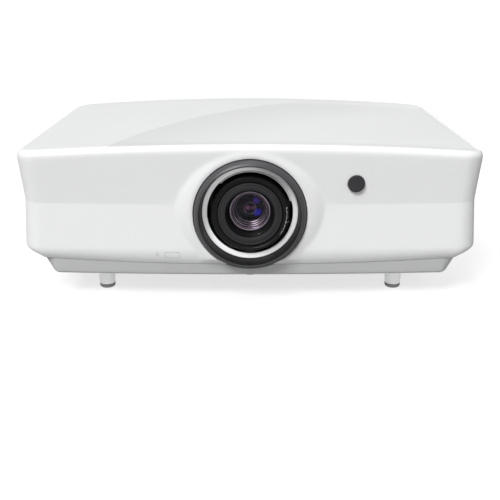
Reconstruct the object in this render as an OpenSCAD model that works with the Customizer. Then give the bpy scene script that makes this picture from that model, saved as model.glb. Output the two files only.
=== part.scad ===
// Home cinema projector with a laser light source and a manual zoom lens.
// X runs to the viewer's right, Y runs from the lens to the rear, Z is up.
// The origin is on the table, midway between the sides and midway front to rear.
// Heights are measured from the table, depths from the front lip of the cover.

/* [Case] */
// Width of the case over its widest edges
body_w = 501; // [420:1:600]
// Depth of the case from the front lip to the rear face
body_d = 331; // [280:1:400]
// Height of the case from its underside to its crown
body_h = 148.5; // [145:0.5:170]
// Gap under the case when the feet stand at their middle setting
foot_gap = 28.5; // [24:0.5:34]
// Thickness of the moulded walls
wall = 2.5; // [2:0.1:3]
// How far the crowned top falls from the middle to the side edges
crown_drop = 10; // [4:0.5:14]
// How far the front bows forward in the middle
front_bow = 9; // [4:0.5:14]
// Radius of the four upright corners
corner_r = 24; // [16:1:30]
// Radius of the rolled edge round the top
lip_r = 8; // [5:0.5:9]
// How far the walls draw in at the waist fold
waist_in = 3.6; // [1:0.1:5]
// Height of the waist fold above the underside
waist_up = 83; // [70:1:95]
// Height of the joint line between cover and tub above the underside, in the middle
seam_up = 15; // [12:0.5:18]
// How much higher the joint line is at the side walls
seam_rise = 6.5; // [3:0.5:9]

/* [Lens] */
// Height of the optical axis above the underside
axis_up = 72.5; // [70:0.5:76]
// Outer radius of the trim ring
trim_r = 60.5; // [56:0.5:61]
// How far the trim ring stands out in front of the lip
trim_out = 8; // [5:0.5:10]
// Inner radius of the bright ring
bright_r = 46.4; // [46:0.1:48]
// Outer radius of the focus and zoom rings
lens_ring_r = 41.5; // [40:0.5:42]
// Outer radius of the front lens cell
cell_r = 34.8; // [32:0.2:35]
// Radius of the clear front glass
glass_r = 22.8; // [20:0.2:24]
// Travel of the lens up or down from its middle position
shift_travel = 2; // [1:0.5:2]

/* [Feet] */
// Radius of a foot where it enters the case
foot_r = 9.7; // [8:0.1:12]
// Distance of the feet from the middle of the case
foot_x = 166.7; // [140:0.1:175]
// Distance of the front feet behind the lip
foot_y = 48; // [44:1:60]
// Thickness of the rubber pad under a foot
pad_t = 5; // [3:0.5:7]

/* [Cooling] */
// Side of a square fan frame
fan_size = 92; // [80:1:92]
// Thickness of a fan frame
fan_t = 25; // [20:1:30]

/* [Mounting] */
// Spacing of the ceiling mount inserts across the case
mount_dx = 220; // [180:1:240]
// Spacing of the ceiling mount inserts front to rear
mount_dy = 170; // [140:1:180]
// Hole radius of an M4 insert
insert_hole_r = 2; // [1.5:0.25:2.5]

/* [Fits] */
// Gap between pieces that move past each other
moving_gap = 0.4; // [0.3:0.05:0.5]
// Radial gap of a running fit between a shaft and its bore
running_gap = 0.05; // [0.02:0.01:0.1]
// Gap between fixed pieces that are dropped in
fixed_gap = 0.3; // [0.1:0.05:0.4]

/* [Hidden] */
$fn = 96;

// Levels and planes
face_y = -(body_d + trim_out) / 2 + trim_out;
under_z = foot_gap;
crown_z = under_z + body_h;
waist_z = under_z + waist_up;
seam_z = under_z + seam_up;
axis_z = under_z + axis_up;
half_w = body_w / 2;
rear_in = body_d - wall;
floor_z = under_z + wall + 0.5;
far = 2 * body_w;

// Radii of the big shallow curves, from their rise over half the width
crown_r = half_w * half_w / (2 * crown_drop);
bow_r = half_w * half_w / (2 * front_bow);
seam_r = half_w * half_w / (2 * seam_rise);

// Tub
tub_in = 18;
tub_slope = 11;
tub_front = 5.5;
tub_rear = 1;
tub_corner_r = 20;
boss_h = 34;
bay_x = half_w - tub_in - tub_slope - 8;

// Grilles
vent_h = 84;
vent_l = fan_size + 8;
slot_h = 3.6;
slot_step = 8;
louvre_bridge = 6;

// Lens stack, front to rear
collar_r = trim_r + 15;
collar_rim_r = trim_r + 3;
collar_back = 5.2;
hole_r = trim_r + 0.5;
flange_y = 6;
flange_r = trim_r + 2.4;
bright_y = 8;
bright_t = 3;
ring_seat_r = bright_r + 2;
trim_bore_r = trim_r - 8.2;
trim_t = 14;
cell_y = 1.4;
cell_l = 14.6;
glass_y = 12.2;
focus_y = 3;
focus_l = 30;
zoom_y = 36;
zoom_l = 16;
lever_r = lens_ring_r + 2.5;
barrel_r = cell_r - 0.2;
barrel_bore = 31;
barrel_y = 18.5;
carriage_y = 64;
carriage_t = 6;
mount_y = 74;
mount_t = 6;
pin_x = 52;
pin_r = 4;
pin_reach = 54 + shift_travel;
shaft_r = 3;
wheel_r = 13;
wheel_y = 27;
wheel_out = 1.2;
rear_group_r = 27;
rear_group_l = 34;

// Light engine
engine_y = mount_y + mount_t;
engine_w = 104;
engine_l = 80;
engine_h = 78;
light_y = engine_y + 38;
engine_x = engine_w / 2;
engine_z0 = axis_z - engine_h / 2;
relay_l = 20;
block_t = 17;
bank_l = 26;
housing_l = 48;
housing_w = 66;
fan_x = bay_x - fan_t + 5;
block_x = fan_x - 23;
bank_x = block_x - bank_l;
housing_x = bank_x - housing_l;
wheel_up = 20;
wheel_disc_r = 28;
spindle_r = 1.5;
phosphor_x = housing_x + 36;
colour_x = housing_x + 13;
pipe_r = 4;
pipe_x = block_x + 9;
fin_z = under_z + boss_h + 4;
dmd_y = engine_y + engine_l;
sink_l = 28;

// Fans
intake_y = 150;
keypad_depth = 18;
exhaust_y = (engine_y + engine_l + rear_in - keypad_depth) / 2 + 4;
fan_bore = fan_size / 2 - 2;
hub_r = 16;

// Boards
tray_z = floor_z + 1.5;
tray_t = 1.5;
tray_top = tray_z + tray_t;
board_t = 1.6;
board_y = dmd_y + sink_l + 8;
board_z = 60;
main_x0 = -75;
main_x1 = 135;
psu_x0 = -bay_x + 22;
psu_x1 = main_x0 - 12;
psu_y = intake_y + fan_size / 2 + 8;
psu_z = 66;

// Rear panel and what shows in it
panel_w = body_w - 70;
panel_z0 = under_z + 20;
panel_h = 98;
panel_t = 2.5;
panel_y = body_d - 6;
inlet_x = psu_x0 + 34;
inlet_z = psu_z + 16;
inlet_w = 30;
inlet_h = 23;
port_z = board_z + board_t;
keypad_x = half_w - 68;
keypad_z = axis_z + 8;
key_r = 5;
key_step = 14;
key_travel = 0.8;
key_out = 1.6;

// Ports on the rear edge of the main board: x, width, height of each socket
ports = [[-60, 19, 9], [-32, 19, 9], [0, 17.5, 15], [26, 16, 8], [58, 33, 13], [88, 12, 11], [106, 12, 11]];

// Keys: x and z from the middle of the key cross
keys = [[0, 0], [0, key_step], [0, -key_step], [-key_step, 0], [key_step, 0], [-key_step, 2 * key_step],
        [key_step, 2 * key_step]];

// Where the four feet and the ceiling inserts stand
foot_rear_y = body_d - foot_y;
mount_mid_y = body_d / 2 + 6;

function sag(r, x) = r - sqrt(r * r - x * x);
function arc(cx, cy, r, a0, a1, n) = [for (i = [0 : n]) let (a = a0 + (a1 - a0) * i / n) [cx + r * cos(a),
    cy + r * sin(a)]];

module from_face() translate([0, face_y, 0]) children();
module along_x(x, y, z) translate([x, y, z]) rotate([0, 90, 0]) children();
module along_y(x, y, z) translate([x, y, z]) rotate([-90, 0, 0]) children();
module on_axis(y) along_y(0, y, axis_z) children();

module tube(r_out, r_in, h) {
    difference() {
        cylinder(r = r_out, h = h);
        translate([0, 0, -1]) cylinder(r = r_in, h = h + 2);
    }
}

// Outline seen from above: rounded rectangle from front to rear whose front bows forward
module outline(w, front, rear, r) {
    y0 = front + sag(bow_r, w - r) + r;
    intersection() {
        union() {
            translate([-w, y0]) square([2 * w, rear - r - y0]);
            translate([-(w - r), 0]) square([2 * (w - r), rear]);
            for (s = [-1, 1]) for (y = [y0, rear - r]) translate([s * (w - r), y]) circle(r = r);
        }
        translate([0, bow_r + front]) circle(r = bow_r, $fn = 720);
    }
}

// Side view of the cover: folded front, rolled lip, upright rear
function cover_side(t) = concat(
    [[5 + t, under_z], [5 + t, seam_z], [1.6 + t, seam_z + 6], [t, seam_z + 15],
        [waist_in * 0.8 + t, waist_z]],
    arc(lip_r, crown_z - lip_r, lip_r - t, 180, 90, 6),
    arc(body_d - lip_r, crown_z - lip_r, lip_r - t, 90, 0, 6),
    [[body_d - t, under_z]]);

// Right half of the front view of the cover
function cover_half(t) = concat(
    [[half_w - tub_in, under_z], [half_w - tub_in, seam_z + 4 + t], [half_w - 7 - t / 2, seam_z + 7 + t],
     [half_w - 1 - t, seam_z + 12.5], [half_w - t, seam_z + 18], [half_w - waist_in - 0.6 - t, waist_z]],
    arc(half_w - lip_r - 0.5, crown_z - crown_drop - lip_r, lip_r - t, 0, 80, 6),
    [[half_w - 40, crown_z + 5]]);

function mirrored(p) = concat(p, [for (i = [len(p) - 1 : -1 : 0]) [-p[i][0], p[i][1]]]);

module side_slab(points) translate([-far / 2, 0, 0]) rotate([90, 0, 90]) linear_extrude(far) polygon(points);
module front_slab(points) translate([0, far, 0]) rotate([90, 0, 0]) linear_extrude(2 * far) polygon(points);

module cover_form(t) {
    intersection() {
        linear_extrude(crown_z + 5) outline(half_w - t, t, body_d - t, corner_r - t);
        side_slab(cover_side(t));
        front_slab(mirrored(cover_half(t)));
        translate([0, -far, crown_z - crown_r]) rotate([-90, 0, 0]) cylinder(r = crown_r - t,
            h = 3 * far, $fn = 720);
    }
}

// Everything above the joint line
module above_seam(gap) {
    translate([0, -far, seam_z + seam_r]) rotate([-90, 0, 0]) cylinder(r = seam_r + gap,
        h = 3 * far, $fn = 720);
}

module tub_form(t) {
    intersection() {
        translate([0, 0, t > 0 ? floor_z : under_z])
            linear_extrude(60)
                outline(half_w - tub_in - t, tub_front + t, body_d - tub_rear - t, tub_corner_r - t);
        side_slab([[tub_front + t, seam_z + 20], [tub_front + t, seam_z], [tub_front + 4 + t, under_z + 1.5],
                   [tub_front + 6 + t, under_z], [body_d - tub_rear - 6 - t, under_z],
                   [body_d - tub_rear - 4 - t, under_z + 1.5], [body_d - tub_rear - t, seam_z],
                   [body_d - tub_rear - t, seam_z + 20]]);
        front_slab(mirrored([[half_w - tub_in - tub_slope - 5 - t, under_z],
            [half_w - tub_in - tub_slope - t, under_z + 2.5],
                             [half_w - tub_in - t, seam_z + 5], [half_w - tub_in - t, seam_z + 20]]));
    }
}

// Region of one side wall that the grille fills
module vent_region(s, y, grow) {
    translate([s > 0 ? half_w - 24 : -half_w, y - vent_l / 2 - grow, axis_z - vent_h / 2 - grow])
        cube([24, vent_l + 2 * grow, vent_h + 2 * grow]);
}

// Flared collar that runs the front into the lens opening
module collar() {
    intersection() {
        on_axis(0) rotate_extrude() polygon([[hole_r, -1.2], [collar_rim_r, -1.2], [collar_rim_r + 3, 0.4],
            [collar_rim_r + 7, 2], [collar_r, 3.6], [collar_r, collar_back], [hole_r, collar_back]]);
        union() {
            translate([-far / 2, -20, seam_z + 4]) cube([far, 60, crown_z - lip_r + 1 - seam_z - 4]);
            on_axis(-5) cylinder(r = collar_rim_r, h = 30);
        }
    }
}

module screw_places() {
    for (x = [-1, 1]) for (y = [foot_y + 45, body_d - 24]) translate([x * (bay_x - 14), y, 0]) children();
}

module top_cover() {
    color("white") from_face() difference() {
        union() {
            difference() {
                intersection() {
                    cover_form(0);
                    above_seam(0);
                }
                cover_form(wall);
            }
            collar();
            screw_places() translate([0, 0, tray_top + 2])
                cylinder(r = 4.5, h = crown_z - sag(crown_r, bay_x - 14) - wall / 2 - tray_top - 2);
        }
        on_axis(-20) cylinder(r = hole_r, h = 60);
        on_axis(flange_y - fixed_gap) cylinder(r = flange_r + fixed_gap, h = 10);
        translate([-panel_w / 2, body_d - 20, panel_z0]) cube([panel_w, 40, panel_h]);
        for (s = [-1, 1]) vent_region(s, s < 0 ? intake_y : exhaust_y, fixed_gap);
        along_y(112.3, -10, axis_z + 33.8) cylinder(r = 9.1 + fixed_gap, h = 30);
        screw_places() translate([0, 0, tray_top]) cylinder(r = 1.5, h = 22);
    }
}

module base_tub() {
    color("gainsboro") from_face() difference() {
        union() {
            difference() {
                tub_form(0);
                tub_form(wall);
                above_seam(0.4);
            }
            for (x = [-1, 1]) for (y = [foot_y, foot_rear_y])
                translate([x * foot_x, y, under_z + 1]) cylinder(r = foot_r + 4, h = boss_h);
            for (x = [-1, 1]) for (y = [-1, 1])
                translate([x * mount_dx / 2, mount_mid_y + y * mount_dy / 2, under_z + 1]) cylinder(r = 7,
                    h = floor_z - under_z + 0.5);
            for (x = [-1, 0, 1]) for (y = [90, body_d - 60])
                translate([x * 140, y, under_z + 1]) cylinder(r = 6, h = tray_z - under_z - 1);
        }
        for (x = [-1, 1]) for (y = [foot_y, foot_rear_y])
            translate([x * foot_x, y, under_z - 5]) cylinder(r = foot_r + moving_gap, h = boss_h + 4);
        for (x = [-1, 1]) for (y = [-1, 1])
            translate([x * mount_dx / 2, mount_mid_y + y * mount_dy / 2, under_z - 5]) cylinder(r = 4,
                h = 30);
        screw_places() translate([0, 0, under_z - 5]) cylinder(r = 2.1, h = 30);
        translate([0, wheel_y, under_z - 5]) cylinder(r = wheel_r + moving_gap, h = 20);
        on_axis(-20) cylinder(r = collar_rim_r + fixed_gap, h = 20 + tub_front + 8);
    }
}

module rear_panel() {
    color("dimgray") from_face() difference() {
        translate([-panel_w / 2 + fixed_gap, panel_y, panel_z0 + fixed_gap])
            cube([panel_w - 2 * fixed_gap, panel_t, panel_h - 2 * fixed_gap]);
        translate([inlet_x - inlet_w / 2 - fixed_gap, panel_y - 5, inlet_z - inlet_h / 2 - fixed_gap])
            cube([inlet_w + 2 * fixed_gap, 20, inlet_h + 2 * fixed_gap]);
        for (p = ports) translate([p[0] - p[1] / 2 - fixed_gap, panel_y - 5, port_z - fixed_gap])
            cube([p[1] + 2 * fixed_gap, 20, p[2] + 2 * fixed_gap]);
        for (k = keys) along_y(keypad_x + k[0], panel_y - 5, keypad_z + k[1])
            cylinder(r = key_r + moving_gap, h = 20);
        for (i = [-1 : 1]) along_y(keypad_x + i * 8, panel_y - 5, keypad_z - 26)
            cylinder(r = 1.5 + fixed_gap, h = 20);
    }
}

module grille(s, y) {
    color("whitesmoke") from_face() difference() {
        intersection() {
            difference() {
                cover_form(0.5);
                cover_form(wall);
            }
            vent_region(s, y, 0);
        }
        for (i = [-4 : 4]) for (j = [-1, 0, 1])
            translate([s > 0 ? half_w - 30 : -half_w - 10,
                y + j * (vent_l - louvre_bridge) / 3 - (vent_l - 4 * louvre_bridge) / 6,
                       axis_z + i * slot_step - slot_h / 2])
                cube([40, (vent_l - 4 * louvre_bridge) / 3, slot_h]);
    }
}

module left_grille() grille(-1, intake_y);
module right_grille() grille(1, exhaust_y);

module lens_trim_ring() {
    color("dimgray") from_face() on_axis(0) rotate_extrude() polygon([
        [trim_r - 5.4, -trim_out], [trim_r - 4, -trim_out + 0.4], [trim_r, -1], [trim_r, flange_y],
        [flange_r, flange_y], [flange_r, flange_y + 2.5], [trim_r, flange_y + 2.5], [trim_r, trim_t],
        [ring_seat_r, trim_t], [ring_seat_r, bright_y + bright_t], [trim_bore_r, bright_y + bright_t],
        [trim_bore_r, 6], [trim_r - 6.4, -trim_out + 0.6]]);
}

module chrome_ring() {
    color("silver") from_face() on_axis(0) rotate_extrude() polygon([
        [bright_r, bright_y + 0.4], [bright_r + 0.4, bright_y], [trim_bore_r - fixed_gap - 0.4, bright_y],
        [trim_bore_r - fixed_gap, bright_y + 0.4], [trim_bore_r - fixed_gap, bright_y + bright_t],
        [bright_r, bright_y + bright_t]]);
}

module ir_window() {
    color("black") from_face() along_y(112.3, 1.2, axis_z + 33.8) union() {
        cylinder(r = 9.1, h = 5);
        translate([0, 0, 4.4]) cylinder(r = 11, h = 2);
    }
}

module post(x, y, top) translate([x, y, tray_z]) cylinder(r = 4, h = top - tray_z);

module chassis_tray() {
    color("silver") from_face() difference() {
        union() {
            translate([-bay_x, 18, tray_z]) cube([2 * bay_x, body_d - 36, tray_t]);
            for (x = [-1, 1]) for (y = [engine_y + 12, engine_y + engine_l - 8]) post(x * (engine_x - 8),
                y, engine_z0);
            for (y = [-1, 1]) post(housing_x + housing_l / 2, light_y + y * (housing_w / 2 - 8), engine_z0);
            for (x = [main_x0 + 8, main_x1 - 8]) for (y = [board_y + 8, rear_in - 22]) post(x, y, board_z);
            for (x = [psu_x0 + 8, psu_x1 - 8]) for (y = [psu_y + 8, rear_in - 22]) post(x, y, psu_z);
            for (s = [-1, 1]) for (y = [-1, 1])
                post(s * (fan_x + fan_t / 2 - 2), (s < 0 ? intake_y : exhaust_y) + y * (fan_size / 2 - 6),
                    axis_z - fan_size / 2);
            for (x = [block_x - 20, block_x + 14])
                translate([x, exhaust_y - 40, tray_z]) cube([3, 80, fin_z - tray_z]);
            for (x = [-1, 1]) post(x * 56, mount_y + 3, axis_z - pin_reach - 8);
        }
        for (x = [-1, 1]) for (y = [foot_y, foot_rear_y]) translate([x * foot_x, y, tray_z - 5])
            cylinder(r = foot_r + 5, h = boss_h + 8);
        for (x = [-1, 1]) for (y = [-1, 1])
            translate([x * mount_dx / 2, mount_mid_y + y * mount_dy / 2, tray_z - 5]) cylinder(r = 8, h = 10);
        translate([0, wheel_y, tray_z - 5]) cylinder(r = wheel_r + 2, h = 10);
        screw_places() translate([0, 0, tray_z - 5]) cylinder(r = 2.1, h = 10);
    }
}

module chip(x, y, z, w, l, h) translate([x - w / 2, y - l / 2, z]) cube([w, l, h]);

module main_board() {
    top = board_z + board_t;
    mid_y = (board_y + rear_in) / 2 - 8;
    color("darkgreen") from_face() union() {
        translate([main_x0, board_y, board_z]) cube([main_x1 - main_x0, rear_in - 4 - board_y, board_t]);
        chip(10, mid_y - 12, top, 32, 32, 9);
        chip(-40, mid_y - 10, top, 22, 22, 2.5);
        chip(62, mid_y - 12, top, 18, 26, 3);
        for (i = [0 : 3]) chip(92 + i * 10, mid_y - 14, top, 7, 12, 1.4);
    }
}

module psu_board() {
    top = psu_z + board_t;
    mid_x = (psu_x0 + psu_x1) / 2;
    mid_y = (psu_y + rear_in) / 2 - 10;
    color("saddlebrown") from_face() union() {
        translate([psu_x0, psu_y, psu_z]) cube([psu_x1 - psu_x0, rear_in - 14 - psu_y, board_t]);
        chip(mid_x + 22, mid_y, top, 34, 30, 28);
        chip(mid_x - 16, mid_y - 18, top, 24, 20, 20);
        for (i = [0, 1]) translate([mid_x + 52, mid_y - 12 + i * 24, top]) cylinder(r = 10, h = 34);
    }
}

module power_inlet() {
    color("black") from_face() difference() {
        union() {
            translate([inlet_x - inlet_w / 2, panel_y - 18, inlet_z - inlet_h / 2])
                cube([inlet_w, 18 + panel_t, inlet_h]);
            translate([inlet_x - inlet_w / 2 - 8, panel_y + panel_t, inlet_z - inlet_h / 2 - 3])
                cube([inlet_w + 16, 2.5, inlet_h + 6]);
        }
        translate([inlet_x - 12.2, panel_y - 14, inlet_z - 8.2]) cube([24.4, 40, 16.4]);
        for (s = [-1, 1]) along_y(inlet_x + s * (inlet_w / 2 + 4), panel_y - 5, inlet_z) cylinder(r = 1.6,
            h = 20);
    }
}

module signal_ports() {
    color("silver") from_face() for (p = ports) difference() {
        translate([p[0] - p[1] / 2, rear_in - 20, port_z]) cube([p[1],
            panel_y + panel_t + 1 - rear_in + 20, p[2]]);
        translate([p[0] - p[1] / 2 + 1.5, rear_in - 12, port_z + 1.5]) cube([p[1] - 3, 40, p[2] - 3]);
    }
}

module laser_bank() {
    color("slategray") from_face() difference() {
        translate([bank_x, light_y - 26, axis_z - 26]) cube([bank_l, 52, 52]);
        along_x(bank_x - 1, light_y, axis_z) cylinder(r = 7, h = 12);
    }
}

function pipe_zs() = [axis_z - 21, axis_z - 7, axis_z + 7, axis_z + 21];

module laser_heatsink() {
    color("lightgray") from_face() difference() {
        union() {
            translate([block_x, light_y - 30, axis_z - 30]) cube([block_t, 60, 60]);
            for (i = [-8 : 8]) translate([block_x - 24, exhaust_y + i * 5 - 0.6, fin_z]) cube([44, 1.2,
                axis_z + 38 - fin_z]);
        }
        for (z = pipe_zs()) along_y(pipe_x, light_y - 60, z) cylinder(r = pipe_r, h = body_d);
    }
}

module heat_pipes() {
    color("peru") from_face() for (z = pipe_zs())
        along_y(pipe_x, light_y - 27, z) cylinder(r = pipe_r - 0.02, h = exhaust_y + 42 - light_y + 27);
}

module wheel_housing() {
    color("gray") from_face() difference() {
        translate([housing_x, light_y - housing_w / 2, engine_z0]) cube([housing_l, housing_w, 92]);
        translate([housing_x + 3, light_y - housing_w / 2 + 3, engine_z0 + 3])
            cube([housing_l - 6, housing_w - 6, 86]);
        along_x(housing_x - 5, light_y, axis_z) cylinder(r = 6, h = housing_l + 10);
    }
}

module wheel_motors() {
    color("dimgray") from_face() union() {
        along_x(phosphor_x + 2, light_y, axis_z + wheel_up) cylinder(r = 9,
            h = housing_x + housing_l - 3 - phosphor_x - 2);
        along_x(phosphor_x - 3, light_y, axis_z + wheel_up) cylinder(r = spindle_r, h = 6);
        along_x(housing_x + 3, light_y, axis_z + wheel_up) cylinder(r = 9, h = colour_x - 2 - housing_x - 3);
        along_x(colour_x - 3, light_y, axis_z + wheel_up) cylinder(r = spindle_r, h = 6);
    }
}

module spinning_disc(x, r) {
    along_x(x - 0.6, light_y, axis_z + wheel_up) difference() {
        union() {
            cylinder(r = r, h = 1.2);
            translate([0, 0, -0.6]) cylinder(r = 8, h = 2.4);
        }
        translate([0, 0, -5]) cylinder(r = spindle_r + running_gap, h = 12);
    }
}

module phosphor_wheel() color("gold") from_face() spinning_disc(phosphor_x, wheel_disc_r);
module colour_wheel() color("deepskyblue") from_face() spinning_disc(colour_x, wheel_disc_r - 1);

module light_tunnel() {
    x0 = engine_x + relay_l;
    color("black") from_face() difference() {
        translate([x0, light_y - 7, axis_z - 6]) cube([housing_x - x0, 14, 12]);
        translate([x0 - 1, light_y - 4, axis_z - 3]) cube([housing_x - x0 + 2, 8, 6]);
    }
}

module relay_lenses() {
    color("lightcyan") from_face() union() {
        for (i = [0, 1]) along_x(engine_x + 3 + i * 10, light_y, axis_z) cylinder(r = 9, h = 4);
        along_x(engine_x, light_y, axis_z) tube(12, 9, relay_l);
    }
}

module engine_housing() {
    color("gray") from_face() difference() {
        translate([-engine_x, engine_y, engine_z0]) cube([engine_w, engine_l, engine_h]);
        translate([-engine_x + 3, engine_y + 3, engine_z0 + 3])
            cube([engine_w - 6, engine_l - 6, engine_h - 6]);
        on_axis(engine_y - 5) cylinder(r = rear_group_r + 4, h = 12);
        along_x(engine_x - 8, light_y, axis_z) cylinder(r = 9, h = 16);
        translate([-15, dmd_y - 8, axis_z - 12]) cube([30, 16, 24]);
    }
}

module prism() {
    color("lightcyan") from_face() translate([-18, engine_y + 36, engine_z0 + 3]) cube([36, 36,
        axis_z + 18 - engine_z0 - 3]);
}

module dmd_board() {
    color("darkgreen") from_face() union() {
        translate([-45, dmd_y, axis_z - 36]) cube([90, board_t, 72]);
        translate([-12, dmd_y - 3, axis_z - 9]) cube([24, 3, 18]);
    }
}

module dmd_heatsink() {
    color("lightgray") from_face() union() {
        translate([-30, dmd_y + board_t, axis_z - 28]) cube([60, 5, 56]);
        for (i = [-4 : 4]) translate([i * 7 - 1, dmd_y + board_t + 5, axis_z - 28]) cube([2, sink_l - 6, 56]);
    }
}

module lens_mount() {
    color("gray") from_face() difference() {
        union() {
            translate([-62, mount_y, axis_z - pin_reach - 8]) cube([124, mount_t, 2 * pin_reach + 16]);
            for (x = [-1, 1]) for (z = [-1, 1])
                translate([x * pin_x - 8, carriage_y - 6, axis_z + z * (pin_reach + 4) - 4])
                    cube([16, mount_y - carriage_y + 7, 8]);
        }
        on_axis(mount_y - 5) cylinder(r = rear_group_r + 4, h = 20);
        for (x = [-1, 1]) translate([x * pin_x, carriage_y + 3, axis_z - 80]) cylinder(r = pin_r, h = 160);
    }
}

module guide_pins() {
    color("silver") from_face() for (x = [-1, 1])
        translate([x * pin_x, carriage_y + 3, axis_z - pin_reach - 8]) cylinder(r = pin_r - 0.02,
            h = 2 * pin_reach + 16);
}

module lens_carriage() {
    arm_z = axis_z - 54;
    color("darkgray") from_face() difference() {
        union() {
            translate([-46, carriage_y, axis_z - 44]) cube([92, carriage_t, 88]);
            for (x = [-1, 1]) for (z = [-1, 1]) translate([x * pin_x - 8, carriage_y - 4,
                axis_z + z * 30 - 9]) cube([16, 13, 18]);
            translate([-8, wheel_y - 8, arm_z]) cube([16, carriage_y + carriage_t - wheel_y + 8, 7]);
            translate([-8, carriage_y, arm_z]) cube([16, carriage_t, 20]);
        }
        on_axis(carriage_y - 5) cylinder(r = 26, h = 20);
        for (x = [-1, 1]) translate([x * pin_x, carriage_y + 3, axis_z - 60])
            cylinder(r = pin_r - 0.02 + running_gap, h = 120);
        translate([0, wheel_y, arm_z - 5]) cylinder(r = shaft_r + running_gap, h = 20);
    }
}

module lens_barrel() {
    color("black") from_face() union() {
        on_axis(barrel_y) tube(barrel_r, barrel_bore, carriage_y - barrel_y);
        on_axis(carriage_y - 8) tube(lens_ring_r, barrel_bore, 8);
    }
}

module rear_lens_group() {
    color("black") from_face() on_axis(carriage_y + carriage_t) tube(rear_group_r, 12, rear_group_l);
}

module zoom_ring() {
    color("black") from_face() union() {
        on_axis(zoom_y) tube(lens_ring_r, barrel_r + moving_gap, zoom_l);
        on_axis(bright_y + 2) rotate([0, 0, -14]) intersection() {
            tube(lever_r, lens_ring_r + moving_gap, zoom_y - bright_y);
            translate([0, -3.5, 0]) cube([60, 7, 60]);
        }
        on_axis(zoom_y) rotate([0, 0, -14]) intersection() {
            tube(lever_r, lens_ring_r - 1, 4);
            translate([0, -3.5, 0]) cube([60, 7, 60]);
        }
    }
}

module zoom_group() {
    color("dimgray") from_face() on_axis(30) tube(barrel_bore - moving_gap, 14, 14);
}

module focus_ring() {
    color("black") from_face() on_axis(0) rotate_extrude() polygon([
        [cell_r + moving_gap, focus_y + 0.6], [cell_r + moving_gap + 0.6, focus_y],
            [lens_ring_r - 1.5, focus_y],
        [lens_ring_r, focus_y + 1.5], [lens_ring_r, focus_y + focus_l],
            [cell_r + moving_gap, focus_y + focus_l]]);
}

module front_cell() {
    color("darkslategray") from_face() on_axis(0) rotate_extrude() polygon([
        [glass_r + 3.7, cell_y + 0.8], [cell_r - 0.6, cell_y], [cell_r, cell_y + 0.6],
            [cell_r, cell_y + cell_l],
        [glass_r + 3, cell_y + cell_l], [glass_r + 3, glass_y], [glass_r, glass_y]]);
}

module front_lens() {
    dome_r = 70;
    color("indigo") from_face() union() {
        on_axis(glass_y) cylinder(r = glass_r + 2.7, h = 3);
        intersection() {
            on_axis(glass_y - 8) cylinder(r = glass_r - 0.2, h = 9);
            translate([0, glass_y + sqrt(dome_r * dome_r - glass_r * glass_r), axis_z])
                sphere(r = dome_r, $fn = 180);
        }
    }
}

module shift_wheel() {
    color("black") from_face() translate([0, wheel_y, 0]) union() {
        translate([0, 0, under_z - wheel_out]) cylinder(r = wheel_r, h = tray_top - under_z + wheel_out);
        translate([0, 0, tray_top]) cylinder(r = shaft_r, h = axis_z - 45 - tray_top);
    }
}

module foot_screw(x, y) {
    color("gainsboro") from_face() translate([x, y, 0]) union() {
        translate([0, 0, pad_t]) cylinder(r1 = foot_r - 0.8, r2 = foot_r, h = under_z - 2 - pad_t);
        translate([0, 0, under_z - 2]) cylinder(r = foot_r, h = 18);
    }
}

module foot_pad(x, y) {
    color("dimgray") from_face() translate([x, y, 0]) union() {
        cylinder(r1 = foot_r - 1.8, r2 = foot_r - 0.8, h = 1.2);
        translate([0, 0, 1.2]) cylinder(r = foot_r - 0.8, h = pad_t - 1.2);
    }
}

module foot_screw_fl() foot_screw(-foot_x, foot_y);
module foot_screw_fr() foot_screw(foot_x, foot_y);
module foot_screw_rl() foot_screw(-foot_x, foot_rear_y);
module foot_screw_rr() foot_screw(foot_x, foot_rear_y);
module foot_pad_fl() foot_pad(-foot_x, foot_y);
module foot_pad_fr() foot_pad(foot_x, foot_y);
module foot_pad_rl() foot_pad(-foot_x, foot_rear_y);
module foot_pad_rr() foot_pad(foot_x, foot_rear_y);

// One fan frame: square ring, three struts, motor base and spindle, outer face at x = 0
module fan_frame() {
    difference() {
        translate([0, -fan_size / 2, -fan_size / 2]) cube([fan_t, fan_size, fan_size]);
        along_x(-1, 0, 0) cylinder(r = fan_bore, h = fan_t + 2);
    }
    along_x(fan_t - 4, 0, 0) cylinder(r = hub_r, h = 4);
    for (a = [0, 120, 240]) rotate([a, 0, 0]) translate([fan_t - 4, hub_r - 2, -2.5])
        cube([4, fan_bore - hub_r + 4, 5]);
    along_x(fan_t - 16, 0, 0) cylinder(r = spindle_r, h = 14);
}

module fan_frames() {
    color("black") from_face() union() {
        translate([fan_x, exhaust_y, axis_z]) fan_frame();
        translate([-fan_x, intake_y, axis_z]) rotate([0, 0, 180]) fan_frame();
    }
}

module rotor() {
    depth = fan_t - 4 - 2;
    along_x(1.4, 0, 0) difference() {
        union() {
            cylinder(r = hub_r, h = depth - 1.5);
            intersection() {
                for (i = [0 : 6]) rotate([0, 0, i * 360 / 7]) translate([hub_r - 2, 0, depth / 2 - 0.8])
                    rotate([48, 0, 0]) translate([0, -11, -0.7]) cube([fan_bore, 22, 1.4]);
                tube(fan_bore - 1.2, hub_r - 1, depth - 1.5);
            }
        }
        translate([0, 0, 4]) cylinder(r = spindle_r + running_gap, h = fan_t);
    }
}

module exhaust_rotor() color("dimgray") from_face() translate([fan_x, exhaust_y, axis_z]) rotor();
module intake_rotor() color("dimgray") from_face() translate([-fan_x, intake_y, axis_z]) rotate([0, 0, 180])
    rotor();

module speakers() {
    speaker_y = foot_y + foot_r + 5;
    color("black") from_face() for (s = [-1, 1]) {
        translate([s > 0 ? bay_x - 40 : -bay_x, speaker_y, tray_top]) cube([40, 20, 50]);
        along_x(s > 0 ? bay_x - 50 : -bay_x + 40, speaker_y + 10, tray_top + 25) cylinder(r = 9, h = 10);
    }
}

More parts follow.
